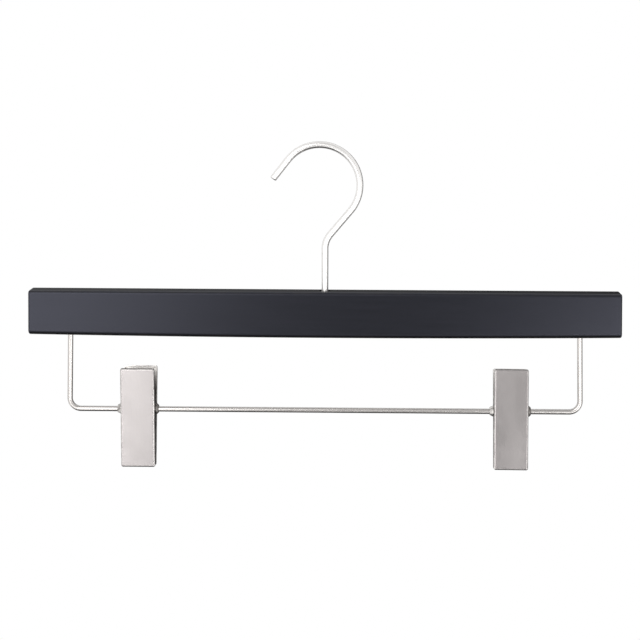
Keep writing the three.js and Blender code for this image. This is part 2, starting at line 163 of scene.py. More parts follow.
def linear(hex_colour):
    """An sRGB hex colour as linear red, green, blue and full alpha."""
    channels = [int(hex_colour[place:place + 2], 16) / 255 for place in (1, 3, 5)]
    return [c / 12.92 if c <= 0.04045 else ((c + 0.055) / 1.055) ** 2.4 for c in channels] + [1.0]


def add(tree, kind, sockets=None, **settings):
    """Adds a node with its settings; a socket takes a value or a link from another node's output."""
    made = tree.nodes.new(kind)
    for name, value in settings.items():
        setattr(made, name, value)
    for name, value in (sockets or {}).items():
        if isinstance(value, bpy.types.NodeSocket):
            tree.links.new(value, made.inputs[name])
        else:
            made.inputs[name].default_value = value
    return made


def new_finish(name):
    """An empty material with its node tree and its Object coordinates."""
    finish = bpy.data.materials.new(name)
    finish.use_nodes = True
    tree = finish.node_tree
    tree.nodes.clear()
    place = add(tree, "ShaderNodeTexCoord")
    return finish, tree, place.outputs["Object"]


def grain(tree, place, size, detail=3.0):
    """Noise whose blotches are that many millimetres long in X, Y and Z."""
    scale = [1 / (MM * length) for length in size]
    stretched = add(tree, "ShaderNodeMapping", {"Vector": place, "Scale": scale})
    noise = add(tree, "ShaderNodeTexNoise", {
        "Vector": stretched.outputs["Vector"], "Scale": 1.0, "Detail": detail,
    })
    return noise.outputs["Fac"]


def rim_wear_and_highlight(tree, place):
    """How far a finish takes its rim colour: patchy, and only along the rounded rims that the piece's mesh
    marks.
    On lacquer it is rubbed wear; on metal the pale rim colour is a painted highlight.
    """
    rim = add(tree, "ShaderNodeAttribute", attribute_name="rim")
    patches = grain(tree, place, (7, 3, 3))
    edge = add(tree, "ShaderNodeMapRange", {
        "Value": rim.outputs["Fac"], "From Min": RIM_START, "From Max": RIM_FULL,
    })
    patchy = add(tree, "ShaderNodeMapRange", {
        "Value": patches, "From Min": NOISE_LOW, "From Max": NOISE_HIGH,
    })
    rim_mask = add(tree, "ShaderNodeMath", {
        0: edge.outputs["Result"], 1: patchy.outputs["Result"],
    }, operation="MULTIPLY")
    return rim_mask.outputs["Value"]


def make_black_lacquer():
    """Satin black lacquer sprayed over sanded beech: near-black with a soft sheen, a trace of the wood's long
    grain under the film, the fine ripple that the film dries with, and greyer rubbed patches on the rims."""
    finish, tree, place = new_finish("black_satin_lacquer_on_beech")
    wood = grain(tree, place, (45, 1.6, 1.6))
    ripple = grain(tree, place, (2.2, 2.2, 2.2), detail=1.0)
    rim_mask = rim_wear_and_highlight(tree, place)
    film_colour = add(tree, "ShaderNodeMixRGB", {
        "Fac": wood, "Color1": linear("#0f1013"), "Color2": linear("#131418"),
    })
    colour = add(tree, "ShaderNodeMixRGB", {
        "Fac": rim_mask, "Color1": film_colour.outputs["Color"], "Color2": linear("#25221f"),
    })
    film_rough = add(tree, "ShaderNodeMapRange", {"Value": wood, "To Min": 0.27, "To Max": 0.35})
    rough = add(tree, "ShaderNodeMapRange", {
        "Value": rim_mask, "To Min": film_rough.outputs["Result"], "To Max": 0.42,
    })
    relief = add(tree, "ShaderNodeBump", {"Height": wood, "Strength": 0.05, "Distance": 0.1 * MM})
    film = add(tree, "ShaderNodeBump", {
        "Height": ripple, "Normal": relief.outputs["Normal"], "Strength": 0.04, "Distance": 0.1 * MM,
    })
    shader = add(tree, "ShaderNodeBsdfPrincipled", {
        "Base Color": colour.outputs["Color"], "Roughness": rough.outputs["Result"],
        "Normal": film.outputs["Normal"], "IOR": 1.5, "Specular Tint": linear("#e6e8ff"),
    })
    add(tree, "ShaderNodeOutputMaterial", {"Surface": shader.outputs["BSDF"]})
    return finish


def make_satin_metal(name, light, dark, roughness, line):
    """A metal with a satin finish: fine lines of a size in X, Y and Z blur what it mirrors. It is a little
    duller where it is handled, and polished along its rims, where a pale colour is also a painted highlight.
    It is matt inside a pressing, where no brush reaches, and there its colour is painted light and shade:
    pale up at the handles, as light coming in between the jaws, and dark by the pivot, as shade deep between
    the jaws."""
    finish, tree, place = new_finish(name)
    brushed = grain(tree, place, line, detail=2.0)
    handled = grain(tree, place, (11, 11, 11), detail=2.0)
    rim_mask = rim_wear_and_highlight(tree, place)
    brushed_colour = add(tree, "ShaderNodeMixRGB", {
        "Fac": brushed, "Color1": linear(dark), "Color2": linear(light),
    })
    # The pale colour along the rims is a painted highlight.
    outside = add(tree, "ShaderNodeMixRGB", {
        "Fac": rim_mask, "Color1": brushed_colour.outputs["Color"], "Color2": linear("#f0ede9"),
    })
    dulled = add(tree, "ShaderNodeMapRange", {
        "Value": handled, "From Min": NOISE_LOW, "From Max": NOISE_HIGH,
        "To Min": roughness[0], "To Max": roughness[1],
    })
    polished = add(tree, "ShaderNodeMapRange", {
        "Value": rim_mask, "To Min": dulled.outputs["Result"], "To Max": 0.22,
    })
    inside = add(tree, "ShaderNodeAttribute", attribute_name="inside")
    rough = add(tree, "ShaderNodeMapRange", {
        "Value": inside.outputs["Fac"], "To Min": polished.outputs["Result"], "To Max": 0.55,
    })
    # Inside a jaw the colour is painted light and shade: dark near the pivot, as painted shade deep between
    # the jaws, and pale towards the top, as painted light coming in over the handles.
    axes = add(tree, "ShaderNodeSeparateXYZ", {"Vector": place})
    lit_towards_top = add(tree, "ShaderNodeMapRange", {
        "Value": axes.outputs["Z"],
        "From Min": (RAIL_Z + SHADED_INSIDE_TO) * MM, "From Max": (RAIL_Z + LIT_INSIDE_FROM) * MM,
    })
    painted_inside_light_and_shade = add(tree, "ShaderNodeMixRGB", {
        "Fac": lit_towards_top.outputs["Result"], "Color1": linear("#6a6562"), "Color2": linear("#f2efec"),
    })
    colour = add(tree, "ShaderNodeMixRGB", {
        "Fac": inside.outputs["Fac"],
        "Color1": outside.outputs["Color"], "Color2": painted_inside_light_and_shade.outputs["Color"],
    })
    lines = add(tree, "ShaderNodeBump", {"Height": brushed, "Strength": 0.06, "Distance": 0.02 * MM})
    shader = add(tree, "ShaderNodeBsdfPrincipled", {
        "Base Color": colour.outputs["Color"], "Metallic": 1.0, "Roughness": rough.outputs["Result"],
        "Normal": lines.outputs["Normal"],
    })
    add(tree, "ShaderNodeOutputMaterial", {"Surface": shader.outputs["BSDF"]})
    return finish


def make_moulded(name, light, dark, roughness, grit):
    """A moulded black polymer: matt, with the even fine grit of its mould, drawn coarser to show."""
    finish, tree, place = new_finish(name)
    skin = grain(tree, place, (grit, grit, grit), detail=2.0)
    colour = add(tree, "ShaderNodeMixRGB", {"Fac": skin, "Color1": linear(dark), "Color2": linear(light)})
    rough = add(tree, "ShaderNodeMapRange", {"Value": skin, "To Min": roughness[0], "To Max": roughness[1]})
    relief = add(tree, "ShaderNodeBump", {"Height": skin, "Strength": 0.25, "Distance": 0.05 * MM})
    shader = add(tree, "ShaderNodeBsdfPrincipled", {
        "Base Color": colour.outputs["Color"], "Roughness": rough.outputs["Result"],
        "Normal": relief.outputs["Normal"], "IOR": 1.5,
    })
    add(tree, "ShaderNodeOutputMaterial", {"Surface": shader.outputs["BSDF"]})
    return finish


LACQUER = make_black_lacquer()
# A warm mid grey with upright brush lines, drawn coarser than real ones to show
NICKEL_SHEET = make_satin_metal(
    "satin_nickel_on_pressed_steel", "#b3aead", "#aca7a6", roughness=(0.29, 0.34), line=(0.25, 0.25, 9.0),
)
# Nearly white and softly shining, with faint blotches of plating
NICKEL_HOOK = make_satin_metal(
    "bright_satin_nickel_on_hook_wire", "#f2f0ee", "#efedeb", roughness=(0.30, 0.35), line=(2.0, 2.0, 2.0),
)
# Paler than the sheet and a little shinier, where the clips run along it
NICKEL_RAIL = make_satin_metal(
    "satin_nickel_on_rail_wire", "#cfcbc8", "#c9c5c2", roughness=(0.24, 0.28), line=(2.0, 2.0, 2.0),
)
# Dark grey; the cone on its left end is pale in patches, a painted highlight of the light from the left
NICKEL_SLEEVE = make_satin_metal(
    "nickel_on_rolled_tube", "#8d8986", "#817d7a", roughness=(0.26, 0.32), line=(0.6, 0.6, 0.6),
)
# Dull dark grey, streaked by the drawing die
SPRING_STEEL = make_satin_metal(
    "drawn_spring_steel", "#8f8d8a", "#6f6d6b", roughness=(0.25, 0.38), line=(0.25, 0.25, 2.0),
)
# Cool pale grey with fine blotches
ZINC = make_satin_metal(
    "bright_zinc_on_stamped_washer", "#c4c8cd", "#aab0b6", roughness=(0.24, 0.36), line=(0.8, 0.8, 0.8),
)
# Matt black that swallows light between the jaws
RUBBER = make_moulded("black_moulded_rubber", "#171717", "#0e0e0e", roughness=(0.7, 0.85), grit=0.35)
# Black with a faint sheen
NYLON = make_moulded("black_moulded_nylon", "#1b1b1d", "#141416", roughness=(0.45, 0.6), grit=0.25)


# Shaping


def turn(degrees, axis):
    return Matrix.Rotation(math.radians(degrees), 4, axis)


def mark_rims(bm):
    """Marks each corner by how far its normal leans between the axes, so that rounded rims stand out."""
    bm.normal_update()
    rim = bm.verts.layers.float.new("rim")
    for corner in bm.verts:
        corner[rim] = 1 - max(abs(part) for part in corner.normal)


def mark_inside(bm):
    """Marks the corners on the inner side of a jaw's sheet."""
    inside = bm.verts.layers.float.new("inside")
    for corner in bm.verts:
        x, y, z = corner.co
        depth = min(CLIP_WIDTH / 2 - abs(x), y + JAW_DEPTH, CLIP_ABOVE - z, z + CLIP_BELOW)
        corner[inside] = depth > SHEET - SHEET_MARGIN


def put(name, bm, finish, node, bodies, edge_round=0, blend=None):
    """Makes a bmesh a piece of the hanger that rides on its body in place of its CAD node. Its sheared edges
    are rounded where asked, and its flat faces are shaded flat up to their rounded rims. A spring instead is
    fixed where it is drawn and rides on no body: its bodies and the line that blend gives are not used."""
    bmesh.ops.scale(bm, vec=(MM, MM, MM), verts=bm.verts)
    mesh = bpy.data.meshes.new(name)
    bm.to_mesh(mesh)
    bm.free()
    mesh.materials.append(finish)
    mesh.shade_smooth()
    mesh.set_sharp_from_angle(angle=math.radians(SMOOTH_UP_TO))
    piece = bpy.data.objects.new(name, mesh)
    scene.collection.objects.link(piece)
    if edge_round:
        sheared = piece.modifiers.new("sheared_edges", "BEVEL")
        sheared.width = edge_round * MM
        sheared.segments = 2
        sheared.limit_method = "ANGLE"
        sheared.angle_limit = math.radians(SHEARED_OVER)
    if blend:
        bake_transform(piece)
    else:
        flats = piece.modifiers.new("true_flats", "WEIGHTED_NORMAL")
        flats.keep_sharp = True
        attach(piece, *bodies)
    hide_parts(node)


def block(low, high):
    """A box between two corners."""
    low, high = Vector(low), Vector(high)
    bm = bmesh.new()
    place = Matrix.Translation((low + high) / 2) @ Matrix.Diagonal((*(high - low), 1))
    bmesh.ops.create_cube(bm, size=1, matrix=place)
    return bm


def rod(radius, low, high, sides=48):
    """A cylinder between two points."""
    low, high = Vector(low), Vector(high)
    bm = bmesh.new()
    along = (high - low).to_track_quat("Z", "Y").to_matrix().to_4x4()
    place = Matrix.Translation((low + high) / 2) @ along
    bmesh.ops.create_cone(
        bm, cap_ends=True, segments=sides, radius1=radius, radius2=radius, depth=(high - low).length,
        matrix=place,
    )
    return bm


def lay_flat(bm, points):
    """Adds one flat face with these corners."""
    bm.faces.new([bm.verts.new(point) for point in points])


def draw_out(bm, way):
    """Draws flat faces out into solids and turns their faces outwards."""
    drawn = bmesh.ops.extrude_face_region(bm, geom=bm.faces[:], use_keep_orig=True)
    moved = [part for part in drawn["geom"] if isinstance(part, bmesh.types.BMVert)]
    bmesh.ops.translate(bm, vec=way, verts=moved)
    bmesh.ops.recalc_face_normals(bm, faces=bm.faces)


def combine(base, tool, operation):
    """Cuts, joins or intersects two closed shapes and returns the result; both are used up."""
    blanks = []
    for shape in (base, tool):
        mesh = bpy.data.meshes.new("blank")
        shape.to_mesh(mesh)
        shape.free()
        blank = bpy.data.objects.new("blank", mesh)
        scene.collection.objects.link(blank)
        blanks.append(blank)
    press = blanks[0].modifiers.new("press", "BOOLEAN")
    press.object = blanks[1]
    press.operation = operation
    press.solver = "EXACT"
    made = bmesh.new()
    made.from_object(blanks[0], bpy.context.evaluated_depsgraph_get())
    for blank in blanks:
        bpy.data.meshes.remove(blank.data)
    bmesh.ops.remove_doubles(made, verts=made.verts, dist=WELD)
    return made


def sharp_edges(bm, over=60):
    """Edges where two faces meet at more than that angle."""
    limit = math.radians(over)
    return [edge for edge in bm.edges if len(edge.link_faces) == 2 and edge.calc_face_angle() > limit]


def round_edges(bm, edges, radius, segments):
    bmesh.ops.bevel(
        bm, geom=edges, offset=radius, offset_type="OFFSET", segments=segments, profile=0.5, affect="EDGES",
        material=-1, clamp_overlap=True,
    )


def round_corners(bm, corners, radius, segments):
    """Rounds corners of a flat face."""
    bmesh.ops.bevel(
        bm, geom=corners, offset=radius, offset_type="OFFSET", segments=segments, profile=0.5,
        affect="VERTICES", material=-1,
    )


def turned(profile, rounding, sides=72):
    """A ring turned about Z from a closed profile of radius and height points, its corners rounded."""
    bm = bmesh.new()
    lay_flat(bm, [(radius, 0, height) for radius, height in profile])
    round_corners(bm, bm.verts[:], rounding, segments=3)
    bmesh.ops.delete(bm, geom=bm.faces[:], context="FACES_ONLY")
    bmesh.ops.spin(
        bm, geom=bm.verts[:] + bm.edges[:], cent=(0, 0, 0), axis=(0, 0, 1), dvec=(0, 0, 0), angle=math.tau,
        steps=sides, use_merge=True,
    )
    bmesh.ops.remove_doubles(bm, verts=bm.verts, dist=WELD)
    bmesh.ops.recalc_face_normals(bm, faces=bm.faces)
    return bm


def corners_of(ring):
    return list(dict.fromkeys(corner for edge in ring for corner in edge.verts))


def pull(bm, ring, way):
    """Draws an open ring of edges out along a straight and returns the new ring."""
    drawn = bmesh.ops.extrude_edge_only(bm, edges=ring)
    corners = [part for part in drawn["geom"] if isinstance(part, bmesh.types.BMVert)]
    bmesh.ops.translate(bm, vec=way, verts=corners)
    return [part for part in drawn["geom"] if isinstance(part, bmesh.types.BMEdge)]


def swing(bm, ring, centre, axis, degrees, steps, advance=(0, 0, 0)):
    """Sweeps an open ring of edges round an axis, moving it on at each step, and returns the last ring."""
    spun = bmesh.ops.spin(
        bm, geom=corners_of(ring) + ring, cent=centre, axis=axis, dvec=advance, angle=math.radians(degrees),
        steps=steps,
    )
    return [part for part in spun["geom_last"] if isinstance(part, bmesh.types.BMEdge)]


def close_ends(bm):
    """Caps both ends of a swept wire and turns its faces outwards."""
    bmesh.ops.holes_fill(bm, edges=[edge for edge in bm.edges if edge.is_boundary], sides=0)
    bmesh.ops.recalc_face_normals(bm, faces=bm.faces)


def bent_wire(start, heading, diameter, route, sides=48):
    """Round wire in the plane of the hanger. It starts at a point with a heading, counted from +X towards +Z,
    and its route is a list of straights, bends of a radius and an angle, changes of diameter and ends cut
    askew, which face a little to the front."""
    bm = bmesh.new()
    place = Vector(start)
    facing = Matrix.Translation(place) @ turn(90 - heading, "Y")
    bmesh.ops.create_circle(bm, cap_ends=False, segments=sides, radius=diameter / 2, matrix=facing)
    ring = bm.edges[:]
    for kind, *sizes in route:
        ahead = Vector((math.cos(math.radians(heading)), 0, math.sin(math.radians(heading))))
        across = Vector((-ahead.z, 0, ahead.x))
        if kind == "straight":
            ring = pull(bm, ring, ahead * sizes[0])
            place = place + ahead * sizes[0]
        elif kind == "bend":
            radius, angle = sizes
            inward = across * math.copysign(radius, angle)
            centre = place + inward
            steps = max(WIRE_LEAST_STEPS, round(abs(angle) / WIRE_BEND_STEP))
            ring = swing(bm, ring, centre, (0, -1, 0), angle, steps)
            place = centre - turn(-angle, "Y") @ inward
            heading += angle
        elif kind == "diameter":
            ring = pull(bm, ring, (0, 0, 0))
            ratio = sizes[0] / diameter
            about = Matrix.Translation(-place)
            bmesh.ops.scale(bm, vec=(ratio, ratio, ratio), space=about, verts=corners_of(ring))
        else:
            tilt = Matrix.Rotation(math.radians(-sizes[0]), 3, across)
            bmesh.ops.rotate(bm, cent=place, matrix=tilt, verts=corners_of(ring))
    close_ends(bm)
    round_edges(bm, sharp_edges(bm), WIRE_END_ROUND, segments=4)
    return bm


# Bar, hook and rail


def make_bar():
    """A board with rounded edges whose lower edge rises towards the ends, bored for the hook and the rail."""
    half_length, half_thick = BAR_LENGTH / 2, BAR_THICKNESS / 2
    bm = block((-half_length, -half_thick, BAR_BOTTOM), (half_length, half_thick, BAR_TOP))
    for level, radius in ((BAR_TOP, BAR_UPPER_ROUND), (BAR_BOTTOM, BAR_LOWER_ROUND)):
        long_edges = [
            edge for edge in bm.edges
            if edge.calc_length() > BAR_LENGTH / 2
            and all(abs(end.co.z - level) < SAME_PLACE for end in edge.verts)
        ]
        round_edges(bm, long_edges, radius, segments=8)
    round_edges(bm, sharp_edges(bm), BAR_END_ROUND, segments=5)
    for slice_number in range(1, BAR_SLICES):
        x = -half_length + BAR_LENGTH * slice_number / BAR_SLICES
        everything = bm.verts[:] + bm.edges[:] + bm.faces[:]
        bmesh.ops.bisect_plane(bm, geom=everything, plane_co=(x, 0, 0), plane_no=(1, 0, 0))
    for corner in bm.verts:
        outward = corner.co.x / half_length
        downward = (BAR_TOP - corner.co.z) / BAR_HEIGHT
        corner.co.x = outward * (half_length - BAR_END_DRAFT * (1 - downward))
        corner.co.z += BAR_CROWN * outward ** 2 * downward
    below, above = BAR_BOTTOM - OVERCUT, BAR_TOP + OVERCUT
    bores = [
        (0, HOOK_WIRE / 2 + GAP, below, above),
        (0, COUNTERBORE_RADIUS, below, COUNTERBORE_TOP),
        (0, BUSH_RADIUS + GAP, BAR_TOP - BUSH_DEPTH, above),
        (-RAIL_HALF_SPAN, RAIL_WIRE / 2 + GAP / 2, below, RAIL_END + GAP),
        (RAIL_HALF_SPAN, RAIL_WIRE / 2 + GAP / 2, below, RAIL_END + GAP),
    ]
    for x, radius, low, high in bores:
        bm = combine(bm, rod(radius, (x, 0, low), (x, 0, high)), "DIFFERENCE")
    mark_rims(bm)
    return bm


def make_hook():
    """Shank with an upset foot, bent neck, round bend and a straight tip."""
    angle = math.radians(HOOK_NECK_ANGLE)
    neck_reach = HOOK_NECK_BEND * (1 - math.cos(angle))
    neck_rise = HOOK_NECK_BEND * math.sin(angle)
    join_x = -HOOK_OFFSET + HOOK_BEND * math.cos(angle)
    join_z = HOOK_CENTRE_Z - HOOK_BEND * math.sin(angle)
    slant_rise = (join_x - neck_reach) / math.tan(angle)
    shank_top = join_z - slant_rise - neck_rise
    route = [
        ("straight", HOOK_HEAD_HEIGHT),
        ("diameter", HOOK_WIRE),
        ("straight", shank_top - HOOK_FOOT - HOOK_HEAD_HEIGHT),
        ("bend", HOOK_NECK_BEND, -HOOK_NECK_ANGLE),
        ("straight", math.hypot(join_x - neck_reach, slant_rise)),
        ("bend", HOOK_BEND, HOOK_ARC_END + HOOK_NECK_ANGLE),
        ("straight", HOOK_TIP),
        ("cut askew", HOOK_TIP_CUT),
    ]
    return bent_wire((0, 0, HOOK_FOOT), 90, HOOK_HEAD, route)


def make_rail():
    """One wire, upright in the bar, a little splayed below it, then bent across and up again."""
    splay = math.radians(RAIL_SPLAY)
    inside = RAIL_END - BAR_BOTTOM
    bend_start = RAIL_Z + RAIL_BEND * (1 + math.sin(splay))
    leg_drop = BAR_BOTTOM - bend_start
    half_across = RAIL_HALF_SPAN + leg_drop * math.tan(splay) - RAIL_BEND * math.cos(splay)
    left_half = [
        ("straight", inside),
        ("bend", RAIL_BEND, -RAIL_SPLAY),
        ("straight", leg_drop / math.cos(splay)),
        ("bend", RAIL_BEND, 90 + RAIL_SPLAY),
    ]
    route = left_half + [("straight", 2 * half_across)] + left_half[::-1]
    return bent_wire((-RAIL_HALF_SPAN, 0, RAIL_END), 270, RAIL_WIRE, route)


def make_bush():
    """A plain tube in the top of the bar, in which the hook turns."""
    bore, foot, top = HOOK_WIRE / 2 + GAP / 2, BAR_TOP - BUSH_DEPTH + GAP, BAR_TOP - GAP
    return turned([(bore, foot), (BUSH_RADIUS, foot), (BUSH_RADIUS, top), (bore, top)], BUSH_ROUND)


def make_washer():
    """A flat ring at the top of the counterbore, on which the hook's foot bears."""
    bore, top = HOOK_WIRE / 2 + GAP, COUNTERBORE_TOP - GAP
    bottom = top - WASHER_THICKNESS
    return turned([(bore, bottom), (WASHER_RADIUS, bottom), (WASHER_RADIUS, top), (bore, top)], WASHER_ROUND)


# Clips, drawn with the pivot at the origin and the jaw's plate towards the front


def jaw_blank(inset, back):
    """A block that fills a jaw's outside, or its inside where it is inset by the sheet."""
    half_width = CLIP_WIDTH / 2 - inset
    front = -JAW_DEPTH + inset
    bm = block((-half_width, front, -CLIP_BELOW + inset), (half_width, back, CLIP_ABOVE - inset))
    corner_edges = []
    for edge in bm.edges:
        run = edge.verts[0].co - edge.verts[1].co
        if abs(run.x) < SAME_PLACE and abs(run.z) < SAME_PLACE:
            corner_edges.append(edge)
    round_edges(bm, corner_edges, JAW_CORNER - inset, segments=6)
    front_rim = [
        edge for edge in sharp_edges(bm) if all(abs(end.co.y - front) < SAME_PLACE for end in edge.verts)
    ]
    round_edges(bm, front_rim, JAW_BEND - inset, segments=6)
    return bm


def jaw_trim(with_ears):
    """The jaw seen from the side: shallow flanges, a tab beside the pad and round ears at the pivot."""
    outside = -JAW_DEPTH - OVERCUT
    flange = -JAW_DEPTH + FLANGE_DEPTH
    tab = flange + TAB_DEPTH
    tab_low, tab_high = TAB_CENTRE - TAB_LENGTH / 2, TAB_CENTRE + TAB_LENGTH / 2
    top, bottom = CLIP_ABOVE + OVERCUT, -CLIP_BELOW - OVERCUT
    slant = math.atan2(EAR_HALF_BASE, -flange)
    touch = math.pi - slant - math.acos(EAR_RADIUS / math.hypot(flange, EAR_HALF_BASE))
    ear_tip = EAR_RADIUS * math.tan(touch / 2)
    outline = [
        (outside, bottom), (flange, bottom),
        (flange, tab_low), (tab, tab_low), (tab, tab_high), (flange, tab_high),
    ]
    if with_ears:
        outline += [
            (flange, -EAR_HALF_BASE), (EAR_RADIUS, -ear_tip), (EAR_RADIUS, ear_tip), (flange, EAR_HALF_BASE),
        ]
    outline += [(flange, top), (outside, top)]
    bm = bmesh.new()
    lay_flat(bm, [(-CLIP_WIDTH, y, z) for y, z in outline])
    ear_corners = [corner for corner in bm.verts if abs(corner.co.y - EAR_RADIUS) < SAME_PLACE]
    tab_corners = [corner for corner in bm.verts if abs(corner.co.y - tab) < SAME_PLACE]
    for corners, radius in ((ear_corners, ear_tip * EAR_FULLNESS), (tab_corners, TAB_DEPTH / 2)):
        if corners:
            round_corners(bm, corners, radius, segments=10)
    draw_out(bm, (2 * CLIP_WIDTH, 0, 0))
    return bm


def offset_ears():
    """Ears that are set inwards from the flanges, to fit between the ears of the other jaw."""
    outside = CLIP_WIDTH / 2 - SHEET - GAP
    inside = outside - SHEET
    root = CLIP_WIDTH / 2 - SHEET / 2
    floor = -JAW_DEPTH + SHEET / 2
    offset_end = -JAW_DEPTH + FLANGE_DEPTH - GAP
    tip = EAR_RADIUS + OVERCUT
    section = [
        (inside, floor), (root, floor), (root, offset_end - SHEET / 2),
        (outside, offset_end), (outside, tip), (inside, tip),
    ]
    bm = bmesh.new()
    for side in (-1, 1):
        lay_flat(bm, [(side * x, y, -EAR_HALF_BASE) for x, y in section])
    draw_out(bm, (0, 0, 2 * EAR_HALF_BASE))
    return combine(bm, jaw_trim(with_ears=True), "INTERSECT")


def make_jaw(offset):
    """A pressed tray of sheet, trimmed to its flanges and ears and pierced for the pivot."""
    back = EAR_RADIUS + OVERCUT
    bm = combine(jaw_blank(0, back), jaw_blank(SHEET, back + OVERCUT), "DIFFERENCE")
    bm = combine(bm, jaw_trim(with_ears=not offset), "INTERSECT")
    if offset:
        bm = combine(bm, offset_ears(), "UNION")
    bm = combine(bm, rod(SLEEVE_RADIUS + GAP, (-CLIP_WIDTH, 0, 0), (CLIP_WIDTH, 0, 0)), "DIFFERENCE")
    mark_rims(bm)
    mark_inside(bm)
    return bm


def make_sleeve():
    """A hollow rivet round the rail: a cone on its left end, smoother and with a painted highlight in
    patches, its right end rolled over the ears.
    """
    cone_end = SLEEVE_GRIP + SLEEVE_CONE_LENGTH
    roll_end = SLEEVE_GRIP + SLEEVE_ROLL_LENGTH
    mouth = SLEEVE_BORE + SLEEVE_LIP
    cone = [
        (SLEEVE_BORE, SLEEVE_LIP - cone_end), (mouth, -cone_end),
        (SLEEVE_HEAD_RADIUS, -SLEEVE_GRIP - SLEEVE_CONE_RIM), (SLEEVE_HEAD_RADIUS, -SLEEVE_GRIP),
        (SLEEVE_RADIUS, -SLEEVE_GRIP),
    ]
    roll = [
        (SLEEVE_RADIUS, SLEEVE_GRIP), (SLEEVE_HEAD_RADIUS, SLEEVE_GRIP),
        (SLEEVE_HEAD_RADIUS, SLEEVE_GRIP + SLEEVE_ROLL_LENGTH / 3),
        (mouth + SLEEVE_LIP, roll_end - SLEEVE_LIP), (mouth, roll_end), (SLEEVE_BORE, roll_end - SLEEVE_LIP),
    ]
    bm = turned(cone + roll, SLEEVE_ROUND)
    bmesh.ops.rotate(bm, cent=(0, 0, 0), matrix=turn(90, "Y"), verts=bm.verts)
    # The cone is marked as a rim, so that the metal paints a pale highlight on it.
    cone_painted_highlight = bm.verts.layers.float.new("rim")
    for corner in bm.verts:
        corner[cone_painted_highlight] = corner.co.x < -SLEEVE_GRIP
    return bm


def make_spring():
    """A torsion spring: down the rear leg, round the sleeve and up the front leg."""
    plate_inside = JAW_DEPTH - SHEET + SPRING_LEG * math.tan(math.radians(JAW_LEAN))
    leg_spread = plate_inside - GAP - SPRING_WIRE / 2 - SPRING_RADIUS
    leg_top = Matrix.Translation((-SPRING_HALF_WIDTH, SPRING_RADIUS + leg_spread, SPRING_LEG))
    steps = round(SPRING_TURNS * SPRING_TURN_STEPS)
    advance = (2 * SPRING_HALF_WIDTH / steps, 0, 0)
    bm = bmesh.new()
    bmesh.ops.create_circle(
        bm, cap_ends=False, segments=SPRING_SIDES, radius=SPRING_WIRE / 2, matrix=leg_top,
    )
    ring = pull(bm, bm.edges[:], (0, -leg_spread, -SPRING_LEG))
    ring = swing(bm, ring, (0, 0, 0), (1, 0, 0), -360 * SPRING_TURNS, steps, advance)
    pull(bm, ring, (0, -leg_spread, SPRING_LEG))
    close_ends(bm)
    return bm


def make_pad():
    """A rubber block in the lower half of a jaw, ribbed across on its gripping side, all edges soft."""
    back = -JAW_DEPTH + SHEET + GAP / 3
    grip = -JAW_DEPTH + SHEET + GAP + PAD_THICKNESS
    groove = grip - PAD_RIB_DEPTH
    bottom = -CLIP_BELOW + SHEET + GAP
    half_width = CLIP_WIDTH / 2 - SHEET - GAP / 3
    outline = [(back, bottom)]
    for rib in range(math.floor((PAD_TOP - bottom) / PAD_RIB_PITCH)):
        z = bottom + rib * PAD_RIB_PITCH
        rib_top = z + PAD_RIB_PITCH / 2
        outline += [
            (grip, z), (grip, rib_top),
            (groove, rib_top + PAD_RIB_DEPTH / 2), (groove, z + PAD_RIB_PITCH - PAD_RIB_DEPTH / 2),
        ]
    outline += [(groove, PAD_TOP), (back, PAD_TOP)]
    bm = bmesh.new()
    lay_flat(bm, [(-half_width, y, z) for y, z in outline])
    draw_out(bm, (2 * half_width, 0, 0))
    round_edges(bm, sharp_edges(bm, over=25), PAD_ROUND, segments=3)
    return bm


put("bar", make_bar(), LACQUER, "wooden_bar", ["bar_body"])
put("hook_wire", make_hook(), NICKEL_HOOK, "hook", ["hook_body"])
put("rail_wire", make_rail(), NICKEL_RAIL, "clip_rail", ["bar_body"])
put("bush", make_bush(), NYLON, "hook_bush", ["bar_body"])
put("washer", make_washer(), ZINC, "hook_washer", ["bar_body"])

for side, clip_x in (("left", -CLIP_OFFSET), ("right", CLIP_OFFSET)):
    pivot = Matrix.Translation((clip_x, 0, RAIL_Z))
    clip = pivot @ turn(CLIP_ASKEW[side], "Z") @ turn(CLIP_TILT[side], "X")
    leaning = {"front": clip @ turn(JAW_LEAN, "X"), "rear": clip @ turn(-JAW_LEAN, "X") @ turn(180, "Z")}
    for jaw, lean in leaning.items():
        body = f"{side}_{jaw}"
        plate = make_jaw(offset=jaw == "rear")
        plate.transform(lean)
        put(
            f"{body}_plate", plate, NICKEL_SHEET, f"{body}_jaw", [body],
            edge_round=SHEET_EDGE_ROUND,
        )
        pad = make_pad()
        pad.transform(lean)
        put(f"{body}_grip", pad, RUBBER, f"{body}_pad", [body])
    sleeve = make_sleeve()
    sleeve.transform(pivot)
    put(f"{side}_rivet", sleeve, NICKEL_SLEEVE, f"{side}_pivot_sleeve", [f"{side}_slider"])
    spring = make_spring()
    spring.transform(clip)
    coil_ends = [
        Vector((clip_x + reach, 0, RAIL_Z)) * MM for reach in (-SPRING_HALF_WIDTH, SPRING_HALF_WIDTH)
    ]
    put(
        f"{side}_coil", spring, SPRING_STEEL, f"{side}_spring",
        [f"{side}_rear", f"{side}_front"], blend=coil_ends,
    )


# Camera at the photograph's place, above the bar and a little to the right of its middle. Its axis meets the
# picture some pixels to the right of the middle and above it.
IMAGE_PIXELS = 640
LENS_PIXELS = 1450
PIXELS_RIGHT, PIXELS_UP = 30, 96
CAMERA_PLACE = (23.6, -858.0, 57.1)
CAMERA_PAN, CAMERA_DIP, CAMERA_ROLL = 0.585, 6.783, -0.282
CAMERA_NEAR, CAMERA_FAR = 0.05, 20

